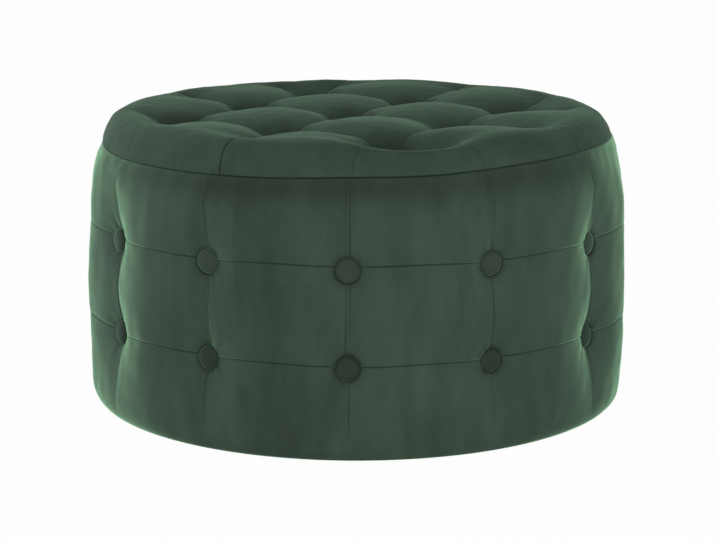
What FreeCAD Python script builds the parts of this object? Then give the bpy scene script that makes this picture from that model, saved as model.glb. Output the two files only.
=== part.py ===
# Round tufted pouf: a wooden drum frame, foam, two velvet covers, 33 covered buttons and 6 glides.
# Millimetres, +Z up. The origin is on the floor at the middle of the glides' circle.
# Angles go round from the front (-Y) towards +X, and a side tuck lies at the front.
import FreeCAD, Part
import math
import os
import Sketcher

V = FreeCAD.Vector
Z_AXIS = V(0, 0, 1)
OUTWARD = FreeCAD.Rotation(V(1, 0, 0), 90)  # a primitive's own Z then points to the front, -Y

doc = FreeCAD.newDocument("tufted_pouf")

# Driving sizes
SIZES = {
    # outside
    "pouf_radius": 335,
    "pouf_height": 358,
    "belly_height": 134,
    "barrel_draw_top": 8,
    "barrel_draw_bottom": 7,
    "crown_rise": 34,
    "crown_flat_inset": 57,
    "crown_shoulder_rise": 23,
    "crown_shoulder_inset": 31,
    "seam_inset": 25,
    "hem_inset": 18,
    "hem_corner": 14,
    # side tufting
    "column_count": 12,
    "row_lower": 111,
    "row_upper_drop": 136,
    "tuck_depth": 8,
    "tuck_end_depth": 5,
    "groove_depth": 5,
    "row_tuck_depth": 13,
    # top tufting
    "tuft_spacing": 146,
    "tuft_turn": 60,
    "tuft_shift": -8,
    "tuft_depth": 48,
    "pleat_depth": 18,
    "pleat_half_width": 58,
    "pleat_overcut": 4,
    "well_flare": 36,
    # buttons and what holds them
    "button_radius": 14.2,
    "button_rise": 9.4,
    "button_inset": 31,
    "well_room": 1.8,
    "side_well_flare": 26,
    "cup_floor": 4,
    "cup_wall": 5,
    "shank_radius": 1.8,
    "side_shank_length": 7,
    "top_shank_length": 6,
    "twine_radius": 1.2,
    "twine_room": 0.5,
    "toggle_length": 26,
    "toggle_width": 8,
    "toggle_thickness": 4,
    "knot_size": 5,
    # padding
    "side_padding": 37,
    "side_foam_thickness": 17.7,
    "top_foam_drop": 24,
    "foam_shoulder_drop": 22,
    "foam_shoulder_width": 41,
    "foam_lap_drop": 24,
    "cover_edge": 7,
    "cloth_gap": 0.3,
    # frame
    "wall_thickness": 3.7,
    "board_gap": 0.3,
    "wall_joint": 0.6,
    "base_board_thickness": 15,
    "top_board_thickness": 15,
    "top_board_drop": 88,
    "post_count": 6,
    "post_start": 15,
    "post_width": 40,
    "post_depth": 30,
    # underside
    "hem_thickness": 1.5,
    "hem_width": 62,
    "dust_thickness": 0.6,
    "dust_inset": 40,
    "glide_radius": 15,
    "glide_height": 5,
    "glide_dish_radius": 6.5,
    "glide_dish_depth": 1.5,
    "glide_inset": 18,
    # fasteners
    "screw_radius": 2.2,
    "screw_head_radius": 4.4,
    "screw_head_height": 2.6,
    "screw_bite": 38,
    "glide_screw_bite": 12,
    "screw_room": 0.1,
    "staple_crown": 10,
    "staple_wire": 0.6,
    "staple_leg": 7,
    "staple_room": 0.1,
    "hem_staple_count": 9,
    "dust_staple_count": 6,
    "wall_staple_count": 6,
    "hem_staple_margin": 5,
    "dust_staple_margin": 8,
}
ROUND = 8  # sides of small round forms, such as the buttons
CHORDS = 3  # straight steps in a top pillow's bulge, from its pleat up
BENDS = 4  # straight steps across a side pillow
FACETS = 24  # sides of the foam and of the top cover
sheet = doc.addObject("Spreadsheet::Sheet", "Sizes")
for row, (word, number) in enumerate(SIZES.items(), 1):
    sheet.set("A%d" % row, word)
    sheet.set("B%d" % row, str(number))
    sheet.setAlias("B%d" % row, word)
doc.recompute()

# Sizes worked out from the driving ones, in the order that they build on each other
FITS = {
    "dust_top": "Sizes.glide_height + Sizes.dust_thickness",
    "hem_bottom": "Fits.dust_top + Sizes.staple_wire",
    "under_board": "Fits.hem_bottom + Sizes.hem_thickness",
    "hem_outer": "Sizes.pouf_radius - Sizes.hem_inset",
    "hem_inner": "Fits.hem_outer - Sizes.hem_width",
    "seam_height": "Sizes.pouf_height - Sizes.crown_rise",
    "seam_radius": "Sizes.pouf_radius - Sizes.seam_inset",
    "row_upper": "Sizes.pouf_height - Sizes.row_upper_drop",
    "foam_outer": "Sizes.pouf_radius - Sizes.side_padding",
    "foam_inner": "Fits.foam_outer - Sizes.side_foam_thickness",
    "wall_outer": "Fits.foam_inner - Sizes.cloth_gap",
    "wall_inner": "Fits.wall_outer - Sizes.wall_thickness",
    "board_radius": "Fits.wall_inner - Sizes.board_gap",
    "post_bottom": "Fits.under_board + Sizes.base_board_thickness",
    "board_top": "Sizes.pouf_height - Sizes.top_board_drop",
    "post_top": "Fits.board_top - Sizes.top_board_thickness",
    "post_reach": "Fits.board_radius - Sizes.board_gap",
    "post_centre": "sqrt(Fits.post_reach^2 - (Sizes.post_width / 2)^2) - Sizes.post_depth / 2",
    "foam_step": "Fits.seam_height - Sizes.foam_lap_drop",
    "top_foam_outer": "Fits.seam_radius - Sizes.cover_edge - Sizes.cloth_gap",
    "top_foam_height": "Sizes.pouf_height - Sizes.top_foam_drop",
    "foam_shoulder": "Fits.top_foam_height - Sizes.foam_shoulder_drop",
    "foam_flat": "Fits.top_foam_outer - Sizes.foam_shoulder_width",
    "well_radius": "Sizes.button_radius + Sizes.well_room",
    "cup_radius": "Fits.well_radius + Sizes.cup_wall",
    "side_seat": "Sizes.pouf_radius - Sizes.button_inset",
    "top_seat": "Sizes.pouf_height - Sizes.tuft_depth",
    "top_cup": "Fits.top_seat - Sizes.cup_floor",
    "top_recess": "Fits.top_cup - Sizes.cloth_gap",
    "twine_hole": "2 * (Sizes.shank_radius + Sizes.twine_room)",
    "toggle_face": "Fits.wall_inner - Sizes.cloth_gap",
    "tuft_x": "Sizes.tuft_shift * cos(Sizes.tuft_turn) - Sizes.tuft_spacing",
    "tuft_y": "-Sizes.tuft_shift * sin(Sizes.tuft_turn) - Sizes.tuft_spacing",
    "dust_outer": "Fits.hem_outer - Sizes.dust_inset",
    "pilot_radius": "Sizes.screw_radius + Sizes.screw_room",
    "head_sink_radius": "Sizes.screw_head_radius + Sizes.screw_room",
    "glide_circle": "Fits.board_radius - Sizes.glide_inset",
    "glide_turn": "Sizes.post_start + 180 / Sizes.post_count",
    "hem_staple_circle": "Fits.hem_inner + Sizes.hem_staple_margin",
    "dust_staple_circle": "Fits.dust_outer - Sizes.dust_staple_margin",
    "low_edge": "Fits.under_board + Sizes.base_board_thickness / 2",
    "high_edge": "Fits.board_top - Sizes.top_board_thickness / 2",
}
fits = doc.addObject("App::VarSet", "Fits")
for word, formula in FITS.items():
    fits.addProperty("App::PropertyFloat", word)
    fits.setExpression(word, formula)
doc.recompute()


def size(word):
    return float(getattr(sheet if word in SIZES else fits, word))


def formula_of(word):
    return ("Sizes." if word in SIZES else "Fits.") + word


# Helpers for bodies
def origin(body, role):
    return next(item for item in body.Origin.OriginFeatures if item.Role == role)


def new_body(label):
    body = doc.addObject("PartDesign::Body", label)
    body.Label = label
    body.AllowCompound = True
    return body


def turned(body, degrees):
    body.Placement = FreeCAD.Placement(V(), FreeCAD.Rotation(Z_AXIS, degrees))


def primitive(body, kind, name, formulas, x="0", y="0", z="0", turn=None):
    """A primitive feature whose place in its body is given by three formulas."""
    item = body.newObject("PartDesign::" + kind, name)
    item.AttachmentSupport = [(origin(body, "XY_Plane"), "")]
    item.MapMode = "FlatFace"
    item.AttachmentOffset = FreeCAD.Placement(V(), turn or FreeCAD.Rotation())
    for word, formula in formulas.items():
        item.setExpression(word, formula)
    for axis, formula in zip("xyz", (x, y, z)):
        item.setExpression(".AttachmentOffset.Base." + axis, formula)
    return item


def prism(body, kind, name, radius, height, x, y, z, turn=None, sides=6):
    """A prism, added or cut, that stands for a small round pin or hole."""
    sizes = {"Circumradius": radius, "Height": height}
    item = primitive(body, kind + "Prism", name, sizes, x, y, z, turn)
    item.Polygon = sides
    return item


def box(body, kind, name, length, width, height, x, y, z, turn=None):
    """A box whose middle lies at x and y, or along x and z where it points outward."""
    sizes = {"Length": length, "Width": width, "Height": height}
    x = "%s - (%s) / 2" % (x, length)
    if turn is None:
        y = "%s - (%s) / 2" % (y, width)
    else:
        z = "%s - (%s) / 2" % (z, width)
    return primitive(body, kind + "Box", name, sizes, x, y, z, turn)


def outline(body, name, corners, turn=None):
    """A closed outline of lines in the body's XZ plane, with a pair of formulas for each corner."""
    sketch = body.newObject("Sketcher::SketchObject", name)
    sketch.AttachmentSupport = [(origin(body, "XZ_Plane"), "")]
    sketch.MapMode = "FlatFace"
    if turn is not None:
        sketch.AttachmentOffset = FreeCAD.Placement(V(), turn)
    count = len(corners)
    spots = [V(100 + math.cos(k), 100 + math.sin(k), 0) for k in range(count)]
    for k in range(count):
        sketch.addGeometry(Part.LineSegment(spots[k], spots[(k + 1) % count]), False)
    for k, (across, up) in enumerate(corners):
        sketch.addConstraint(Sketcher.Constraint("Coincident", k, 1, (k - 1) % count, 2))
        for kind, formula in (("DistanceX", across), ("DistanceY", up)):
            index = sketch.addConstraint(Sketcher.Constraint(kind, -1, 1, k, 1, 1.0))
            sketch.setExpression("Constraints[%d]" % index, formula)
    return sketch


def revolved(body, name, corners, angle="360", turn=None):
    sketch = outline(body, name + "_outline", corners, turn)
    doc.recompute()
    item = body.newObject("PartDesign::Revolution", name)
    item.Profile = sketch
    item.ReferenceAxis = (sketch, ["V_Axis"])
    item.setExpression("Angle", angle)
    return item


def disc(body, name, radius, thickness, bottom):
    sketch = body.newObject("Sketcher::SketchObject", name + "_circle")
    sketch.AttachmentSupport = [(origin(body, "XY_Plane"), "")]
    sketch.MapMode = "FlatFace"
    sketch.setExpression(".AttachmentOffset.Base.z", bottom)
    sketch.addGeometry(Part.Circle(V(), Z_AXIS, 10), False)
    sketch.addConstraint(Sketcher.Constraint("Coincident", 0, 3, -1, 1))
    index = sketch.addConstraint(Sketcher.Constraint("Radius", 0, 10.0))
    sketch.setExpression("Constraints[%d]" % index, radius)
    item = body.newObject("PartDesign::Pad", name)
    item.Profile = sketch
    item.setExpression("Length", thickness)
    return item


def round_the_axis(body, count, feature=None):
    """Repeats the body's last feature evenly round Z, or the whole body where none is named."""
    doc.recompute()
    pattern = body.newObject("PartDesign::PolarPattern", body.Label + "_round")
    if feature:
        pattern.Originals = [feature]
    else:
        pattern.TransformMode = "Whole shape"
    pattern.Axis = (origin(body, "Z_Axis"), [""])
    pattern.Angle = 360
    pattern.setExpression("Occurrences", count)
    body.Tip = pattern


def on_the_tufts(body, name, features):
    """Repeats features from the first tuft over the three by three tufts."""
    doc.recompute()
    grid = body.newObject("PartDesign::MultiTransform", name)
    grid.Originals = features
    steps = []
    for role in ("X_Axis", "Y_Axis"):
        step = body.newObject("PartDesign::LinearPattern", name + "_" + role[0])
        step.Direction = (origin(body, role), [""])
        step.Occurrences = 3
        step.setExpression("Length", "2 * Sizes.tuft_spacing")
        steps.append(step)
    grid.Transformations = steps
    body.Tip = grid


# Fasteners and their holes
def screw_ring(label, circle, turn, low, high, heads_up):
    """A ring of screws between two heights, their heads at one end."""
    body = new_body(label)
    x, y = "%s * sin(%s)" % (circle, turn), "-%s * cos(%s)" % (circle, turn)
    prism(body, "Additive", label + "_shank", "Sizes.screw_radius", "%s - (%s)" % (high, low), x, y, low)
    head = high + " - Sizes.screw_head_height" if heads_up else low
    prism(body, "Additive", label + "_head", "Sizes.screw_head_radius", "Sizes.screw_head_height", x, y, head)
    round_the_axis(body, "Sizes.post_count")
    return body


def staple(body, name, y, z, turn=None):
    """A staple at the front: its crown starts at y and z, and its legs go up, or inward where it is turned."""
    wire = "Sizes.staple_wire"
    legs = y if turn is None else y + " + Sizes.staple_leg - Sizes.staple_wire"
    box(body, "Additive", name + "_crown", "Sizes.staple_crown", wire, wire, "0", y, z, turn)
    reach = "(Sizes.staple_crown - Sizes.staple_wire) / 2"
    for side, x in (("left", "-" + reach), ("right", reach)):
        box(body, "Additive", "%s_%s" % (name, side), wire, wire, "Sizes.staple_leg", x, legs, z, turn)


def staple_slot(body, name, y, z, turn=None):
    """The slot that a staple at the front stands in."""
    length = "Sizes.staple_crown + 2 * Sizes.staple_room"
    width = "Sizes.staple_wire + 2 * Sizes.staple_room"
    depth = "Sizes.staple_leg + 2 * Sizes.staple_room"
    if turn is None:
        return box(body, "Subtractive", name, length, width, depth, "0", y, z + " - Sizes.staple_room")
    y += " + Sizes.staple_leg - Sizes.staple_wire + Sizes.staple_room"
    return box(body, "Subtractive", name, length, width, depth, "0", y, z, turn)


HEM_STAPLE = "-Fits.hem_staple_circle", "Fits.hem_bottom - Sizes.staple_wire"
DUST_STAPLE = "-Fits.dust_staple_circle", "Sizes.glide_height - Sizes.staple_wire"
LOW_WALL_STAPLE = "-Fits.wall_outer + Sizes.staple_wire", "Fits.low_edge", OUTWARD
HIGH_WALL_STAPLE = "-Fits.wall_outer + Sizes.staple_wire", "Fits.high_edge", OUTWARD


def staples(label, count, *places):
    body = new_body(label)
    for number, place in enumerate(places):
        staple(body, "%s_%d" % (label, number), *place)
    round_the_axis(body, "Sizes." + count)
    return body


# Frame
def base_board():
    body = new_body("base_board")
    thickness = "Sizes.base_board_thickness"
    disc(body, "base_disc", "Fits.board_radius", thickness, "Fits.under_board")
    posts = "Fits.post_centre * sin(Sizes.post_start)", "-Fits.post_centre * cos(Sizes.post_start)"
    glides = "Fits.glide_circle * sin(Fits.glide_turn)", "-Fits.glide_circle * cos(Fits.glide_turn)"
    holes = [("post_hole", "Fits.pilot_radius", thickness, posts)]
    holes.append(("head_sink", "Fits.head_sink_radius", "Sizes.screw_head_height", posts))
    holes.append(("glide_hole", "Fits.pilot_radius", "Sizes.glide_screw_bite", glides))
    for name, radius, depth, place in holes:
        hole = prism(body, "Subtractive", name, radius, depth, *place, "Fits.under_board")
        round_the_axis(body, "Sizes.post_count", hole)
    for name, place in (("hem", HEM_STAPLE), ("dust", DUST_STAPLE), ("wall", LOW_WALL_STAPLE)):
        slot = staple_slot(body, "base_%s_slot" % name, *place)
        round_the_axis(body, "Sizes.%s_staple_count" % name, slot)
    return body


def upright(number):
    label = "upright_%d" % (number + 1)
    body = new_body(label)
    y = "-Fits.post_centre"
    height = "Fits.post_top - Fits.post_bottom"
    box(body, "Additive", label + "_post", "Sizes.post_width", "Sizes.post_depth", height, "0", y, "Fits.post_bottom")
    high = "Fits.post_top - Sizes.screw_bite"
    for name, z in (("_low", "Fits.post_bottom"), ("_high", high)):
        prism(body, "Subtractive", label + name, "Fits.pilot_radius", "Sizes.screw_bite", "0", y, z)
    turned(body, size("post_start") + 360 * number / size("post_count"))
    return body


def top_board():
    body = new_body("top_board")
    thickness = "Sizes.top_board_thickness"
    disc(body, "top_disc", "Fits.board_radius", thickness, "Fits.post_top")
    hole = "Fits.twine_hole"
    twine = box(body, "Subtractive", "twine_hole", hole, hole, thickness, "Fits.tuft_x", "Fits.tuft_y", "Fits.post_top")
    on_the_tufts(body, "twine_holes", [twine])
    turn = "(Sizes.post_start - Sizes.tuft_turn)"
    x, y = "Fits.post_centre * sin(%s)" % turn, "-Fits.post_centre * cos(%s)" % turn
    hole = prism(body, "Subtractive", "top_post_hole", "Fits.pilot_radius", thickness, x, y, "Fits.post_top")
    round_the_axis(body, "Sizes.post_count", hole)
    depth = "Sizes.screw_head_height"
    place = x, y, "Fits.board_top - Sizes.screw_head_height"
    sink = prism(body, "Subtractive", "top_head_sink", "Fits.head_sink_radius", depth, *place)
    round_the_axis(body, "Sizes.post_count", sink)
    round_the_axis(body, "Sizes.wall_staple_count", staple_slot(body, "top_edge_slot", *HIGH_WALL_STAPLE))
    turned(body, size("tuft_turn"))
    return body


def wall_panel(label, turn):
    """Half of the bent wall, pierced for the side buttons' twines."""
    body = new_body(label)
    corners = [
        ("Fits.wall_inner", "Fits.under_board"),
        ("Fits.wall_outer", "Fits.under_board"),
        ("Fits.wall_outer", "Fits.board_top"),
        ("Fits.wall_inner", "Fits.board_top"),
    ]
    joint = math.degrees(size("wall_joint") / size("wall_inner"))
    start = FreeCAD.Rotation(V(0, 1, 0), 150 + size("post_start") + joint / 2)
    angle = "180 - Sizes.wall_joint / Fits.wall_inner * 180 / pi"
    revolved(body, label + "_bend", corners, angle, start)
    hole, depth = "Fits.twine_hole", "Sizes.wall_thickness + 4"
    for row in ("row_lower", "row_upper"):
        place = "0", "-Fits.wall_inner + 2", formula_of(row), OUTWARD
        cut = box(body, "Subtractive", "%s_%s" % (label, row), hole, hole, depth, *place)
        round_the_axis(body, "Sizes.column_count", cut)
    for name, place in (("_low_slot", LOW_WALL_STAPLE), ("_high_slot", HIGH_WALL_STAPLE)):
        round_the_axis(body, "Sizes.wall_staple_count", staple_slot(body, label + name, *place))
    turned(body, turn)
    return body


# Foam
def side_foam():
    body = new_body("side_foam")
    low, height = "Fits.under_board", "Fits.foam_step - Sizes.cloth_gap - Fits.under_board"
    prism(body, "Additive", "side_foam_sheet", "Fits.foam_outer", height, "0", "0", low, sides=FACETS)
    inner = "Fits.foam_inner / cos(180 / %d)" % FACETS
    prism(body, "Subtractive", "side_foam_bore", inner, height, "0", "0", low, sides=FACETS)
    hole, depth = "Fits.twine_hole", "Sizes.side_foam_thickness + 4"
    for row in ("row_lower", "row_upper"):
        place = "0", "-Fits.foam_inner + 2", formula_of(row), OUTWARD
        cut = box(body, "Subtractive", row + "_foam_hole", hole, hole, depth, *place)
        round_the_axis(body, "Sizes.column_count", cut)
    return body


# Covers, and the foam under them
def ring(radius, height, sides):
    """The corners of a regular ring, flat at a height."""
    turns = [2 * math.pi * k / sides for k in range(sides)]
    return [V(radius * math.cos(turn), radius * math.sin(turn), height) for turn in turns]


def flat_face(corners):
    return Part.Face(Part.makePolygon(corners + corners[:1]))


def lofted(rings):
    """A solid with flat faces through rings of as many corners each."""
    faces = [flat_face(rings[0]), flat_face(rings[-1])]
    for lower, upper in zip(rings, rings[1:]):
        for k in range(len(lower)):
            a, b, c, d = lower[k - 1], lower[k], upper[k], upper[k - 1]
            if abs((b - a).cross(c - a).normalize().dot(d - a)) < 1e-7:
                faces.append(flat_face([a, b, c, d]))
            else:
                faces += [flat_face([a, b, c]), flat_face([a, c, d])]
    shell = Part.makeShell(faces)
    shell.sewShape()
    solid = Part.Solid(shell)
    if solid.Volume < 0:
        solid.reverse()
    return solid


def upper_foam(room):
    """The rings of the top foam's upper part, grown by some room."""
    outer, flat = size("top_foam_outer") + room, size("foam_flat") + room
    levels = [(outer, size("foam_step")), (outer, size("foam_shoulder") + room), (flat, size("top_foam_height") + room)]
    return [ring(radius, height, FACETS) for radius, height in levels]


def tufts():
    """The tufts' places, row by row."""
    spacing = size("tuft_spacing")
    turn = FreeCAD.Rotation(Z_AXIS, size("tuft_turn"))
    shift = V(size("tuft_shift"), 0, 0)
    return [[turn.multVec(V(i * spacing, j * spacing, 0)) + shift for i in (-1, 0, 1)] for j in (-1, 0, 1)]


def at_tufts(shape):
    """Copies a shape that is made round the origin's axis to all the tufts."""
    shape.rotate(V(), Z_AXIS, size("tuft_turn"))
    return [shape.translated(tuft) for row in tufts() for tuft in row]


def twine_slit(bottom, top):
    hole = size("twine_hole")
    return Part.makeBox(hole, hole, top - bottom, V(-hole / 2, -hole / 2, bottom))


def top_foam():
    """A foam disc with a bevelled rim, that laps over the side foam, cored at the tufts."""
    lower = [ring(size("wall_outer"), size(word), FACETS) for word in ("board_top", "foam_step")]
    core_radius = size("cup_radius") + size("cloth_gap")
    levels = size("top_recess"), size("top_foam_height") + 1
    core = lofted([ring(core_radius, height, ROUND) for height in levels])
    slit = twine_slit(size("board_top") - 1, size("top_recess") + 1)
    item = doc.addObject("Part::Feature", "top_foam")
    item.Shape = lofted(lower + upper_foam(0)).cut(at_tufts(core) + at_tufts(slit))
    item.Placement = FreeCAD.Placement()
    return item


def barrel(height):
    """Radius of the side at a height, without its tufting and its rolled ends."""
    belly = size("belly_height")
    if height > belly:
        rise = (height - belly) / (size("seam_height") - belly)
        return size("pouf_radius") - size("barrel_draw_top") * rise**2
    fall = (belly - height) / (belly - size("hem_bottom"))
    return size("pouf_radius") - size("barrel_draw_bottom") * fall**2


def side_levels():
    """Height, radius at a pillow's middle and radius at a tuck, from the hem up to the seam."""
    low, high = size("hem_bottom"), size("seam_height")
    tuck, end = size("tuck_depth"), size("tuck_end_depth")
    rows = [size("row_lower"), size("row_upper")]
    corner = low + size("hem_corner")
    levels = [(low, size("hem_outer"), size("hem_outer") - end)]
    levels.append((corner, barrel(corner), barrel(corner) - tuck))
    for bottom, top in zip([corner] + rows, rows + [high]):
        for part in (0.22, 0.78):
            height = bottom + part * (top - bottom)
            if bottom > corner or part > 0.5:
                levels.append((height, barrel(height), barrel(height) - tuck))
        if top < high:
            levels.append((top, barrel(top) - size("groove_depth"), barrel(top) - size("row_tuck_depth")))
    levels.append((high, size("seam_radius"), size("seam_radius") - end))
    return levels


def scalloped(height, middle, tuck):
    """The corners of a ring of bulges, one for each column, that meet in the tucks."""
    count = int(size("column_count"))
    corners = []
    for k in range(count * BENDS):
        turn = 2 * math.pi * k / count / BENDS
        radius = tuck + (middle - tuck) * math.sin(math.pi * (k % BENDS) / BENDS)
        corners.append(V(radius * math.sin(turn), -radius * math.cos(turn), height))
    return corners


def at_side_buttons(shape):
    """Copies a shape that is made at the origin, its +Z outwards, to all the side buttons' axes."""
    copies = []
    for row in ("row_lower", "row_upper"):
        for k in range(int(size("column_count"))):
            copy = shape.copy()
            copy.Placement = FreeCAD.Placement(V(0, 0, size(row)), OUTWARD)
            copy.rotate(V(), Z_AXIS, 360 * k / size("column_count"))
            copies.append(copy)
    return copies


def hem_slots():
    """Slots in the hem for its own staples and for those of the dust cover."""
    room = size("staple_room")
    length, width = size("staple_crown") + 2 * room, size("staple_wire") + 2 * room
    slots = []
    for name in ("hem_staple", "dust_staple"):
        count = int(size(name + "_count"))
        for k in range(count):
            corner = V(-length / 2, -size(name + "_circle") - width / 2, size("hem_bottom") - 1)
            slot = Part.makeBox(length, width, size("hem_thickness") + 2, corner)
            slot.rotate(V(), Z_AXIS, 360 * k / count)
            slots.append(slot)
    return slots


def glide_holes():
    holes = []
    for k in range(int(size("post_count"))):
        turn = size("glide_turn") + 360 * k / size("post_count")
        levels = size("hem_bottom") - 1, size("under_board") + 1
        hole = lofted([ring(size("pilot_radius"), height, 6) for height in levels])
        hole.translate(V(0, -size("glide_circle"), 0))
        hole.rotate(V(), Z_AXIS, turn)
        holes.append(hole)
    return holes


def side_cover():
    """Velvet on its wadding, drawn in at the tucks, grooves and buttons, and turned under the base."""
    shell = lofted([scalloped(*level) for level in side_levels()])
    levels = size("under_board"), size("foam_step")
    cavity = lofted([ring(size("foam_outer") + size("cloth_gap"), height, FACETS) for height in levels])
    neck = lofted(upper_foam(size("cloth_gap")))
    levels = size("hem_bottom") - 1, size("under_board") + 1
    opening = lofted([ring(size("hem_inner"), height, FACETS) for height in levels])
    seat, reach, radius = size("side_seat"), size("button_inset") + 2, size("well_radius")
    rings = (radius, seat), (radius + size("side_well_flare"), seat + reach)
    well = lofted([ring(radius, height, ROUND) for radius, height in rings])
    slit = twine_slit(size("foam_outer") - 1, seat + 1)
    tools = [cavity, neck, opening] + at_side_buttons(well) + at_side_buttons(slit)
    item = doc.addObject("Part::Feature", "side_cover")
    item.Shape = shell.cut(tools + hem_slots() + glide_holes())
    item.Placement = FreeCAD.Placement()
    return item


def rim_spot(radius, columns):
    """A point at a side tuck, counted in columns from the tufts' own X axis."""
    turn = math.radians(size("tuft_turn") + columns * 360 / size("column_count"))
    return V(radius * math.cos(turn), radius * math.sin(turn), 0)


def pleat_lines():
    """Six lines of three tufts each, with the two side tucks that each line runs out to."""
    grid = tufts()
    across = [(first, grid[j], last) for j, (first, last) in enumerate(((-5, -1), (6, 0), (5, 1)))]
    along = [(first, [row[i] for row in grid], last) for i, (first, last) in enumerate(((-4, 4), (-3, 3), (-2, 2)))]
    return across + along


def pleat_section(spot, low, side):
    """Across a pleat: a valley between two bulging pillows, as a closed outline up past the crown."""
    half, rise, over = size("pleat_half_width"), size("pleat_depth"), size("pleat_overcut")
    bulge = []
    for k in range(CHORDS + 1):
        angle = 0.5 * math.pi * k / CHORDS
        bulge.append((half * (1 - math.cos(angle)), rise * math.sin(angle)))
    (x0, z0), (x1, z1) = bulge[-2:]
    bulge[-1] = (x1 + over * (x1 - x0) / rise, z1 + over * (z1 - z0) / rise)
    roof = rise + size("crown_rise")
    right = bulge + [(bulge[-1][0], roof)]
    left = [(-across, up) for across, up in reversed(right)]
    return [spot + side * across + Z_AXIS * (low + up) for across, up in left[:-1] + right]


def pleat_tool(first, row, last):
    """What a pleat cuts from the crown, along one line of tufts and over the rim at both ends."""
    valley = size("pouf_height") - size("pleat_depth")
    seam, tuck = size("seam_radius"), size("tuck_end_depth")
    bend = seam - size("crown_shoulder_inset")
    slope = (valley - size("seam_height")) / (seam - tuck - bend)
    outer = seam + 2 * tuck
    path = [(rim_spot(outer, first), valley - slope * (outer - bend)), (rim_spot(bend, first), valley)]
    path += [(tuft, valley) for tuft in row]
    path += [(rim_spot(bend, last), valley), (rim_spot(outer, last), valley - slope * (outer - bend))]
    sections = []
    for k, (spot, low) in enumerate(path):
        along = path[min(k + 1, len(path) - 1)][0] - path[max(k - 1, 0)][0]
        sections.append(pleat_section(spot, low, Z_AXIS.cross(along.normalize())))
    return lofted(sections)


def top_cover():
    """Velvet on its wadding, in pillows between the pleats, pulled down into a well at each tuft."""
    height, seam_height = size("pouf_height"), size("seam_height")
    seam_radius = size("seam_radius")
    bend = size("pouf_radius") - size("crown_shoulder_inset")
    shoulder = seam_height + size("crown_shoulder_rise")
    flat = size("pouf_radius") - size("crown_flat_inset")
    rings = [(seam_radius, seam_height), (bend, shoulder)]
    rings += [(0.5 * (bend + flat), shoulder + 0.72 * (height - shoulder)), (flat, height)]
    crown = lofted([ring(radius, level, FACETS) for radius, level in rings])
    gap = size("cloth_gap")
    ceiling = size("top_foam_height") + gap
    tools = [pleat_tool(*line) for line in pleat_lines()] + [lofted(upper_foam(gap))]
    seat, floor = size("top_seat"), size("top_cup")
    cup = lofted([ring(size("cup_radius"), level, ROUND) for level in (floor, ceiling + 1)])
    shape = crown.cut(tools).fuse(at_tufts(cup))
    lip = height + size("pleat_overcut")
    narrow, flare = size("well_radius"), size("well_flare")
    rings = [(narrow, seat), (narrow + 0.05 * flare, ceiling + 1), (narrow + flare, lip)]
    well = lofted([ring(radius, level, ROUND) for radius, level in rings])
    slit = twine_slit(floor - 1, seat + 1)
    item = doc.addObject("Part::Feature", "top_cover")
    item.Shape = shape.cut(at_tufts(well) + at_tufts(slit))
    item.Placement = FreeCAD.Placement()
    return item


# Buttons, twines and toggles
def button(seat, shank_length):
    """A covered button made at the origin, its +Z outwards, with its flat back on the seat."""
    radius, rise = size("button_radius"), size("button_rise")
    levels = []
    for angle in (0, 50):
        turn = math.radians(angle)
        levels.append(ring(radius * math.cos(turn), seat + rise * (0.15 + 0.85 * math.sin(turn)), ROUND))
    cap = lofted([ring(radius * 0.94, seat, ROUND)] + levels)
    shank = lofted([ring(size("shank_radius"), level, 4) for level in (seat - shank_length, seat + 1)])
    return cap.fuse(shank).removeSplitter()


def group(label, shapes):
    item = doc.addObject("Part::Feature", label)
    item.Shape = Part.makeCompound(shapes)
    item.Placement = FreeCAD.Placement()
    return item


def side_buttons(label, row):
    shape = button(size("side_seat"), size("side_shank_length"))
    half = int(size("column_count"))
    buttons = at_side_buttons(shape)
    return group(label, buttons[:half] if row == "row_lower" else buttons[half:])


def top_buttons():
    return group("top_buttons", at_tufts(button(size("top_seat"), size("top_shank_length"))))


def side_twines(label, row):
    body = new_body(label)
    z, inner = formula_of(row), "(Fits.toggle_face - Sizes.toggle_thickness)"
    length = "Fits.side_seat - Sizes.side_shank_length - " + inner
    prism(body, "Additive", label + "_strand", "Sizes.twine_radius", length, "0", "-" + inner, z, OUTWARD, 4)
    knot = "Sizes.knot_size"
    box(body, "Additive", label + "_knot", knot, knot, knot, "0", "-(%s - %s)" % (inner, knot), z, OUTWARD)
    round_the_axis(body, "Sizes.column_count")
    return body


def side_toggles(label, row):
    body = new_body(label)
    y, z = "-(Fits.toggle_face - Sizes.toggle_thickness)", formula_of(row)
    thickness = "Sizes.toggle_thickness"
    bar = "Sizes.toggle_width", "Sizes.toggle_length", thickness
    box(body, "Additive", label + "_bar", *bar, "0", y, z, OUTWARD)
    eye = "2 * (Sizes.twine_radius + Sizes.cloth_gap)"
    box(body, "Subtractive", label + "_eye", eye, eye, thickness, "0", y, z, OUTWARD)
    round_the_axis(body, "Sizes.column_count")
    return body


def top_twines():
    body = new_body("top_twines")
    tuft, low = ("Fits.tuft_x", "Fits.tuft_y"), "(Fits.post_top - Sizes.toggle_thickness)"
    length = "Fits.top_seat - Sizes.top_shank_length - " + low
    strand = prism(body, "Additive", "top_strand", "Sizes.twine_radius", length, *tuft, low, sides=4)
    knot = "Sizes.knot_size"
    end = box(body, "Additive", "top_knot", knot, knot, knot, *tuft, "%s - %s" % (low, knot))
    on_the_tufts(body, "top_twines_grid", [strand, end])
    turned(body, size("tuft_turn"))
    return body


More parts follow.
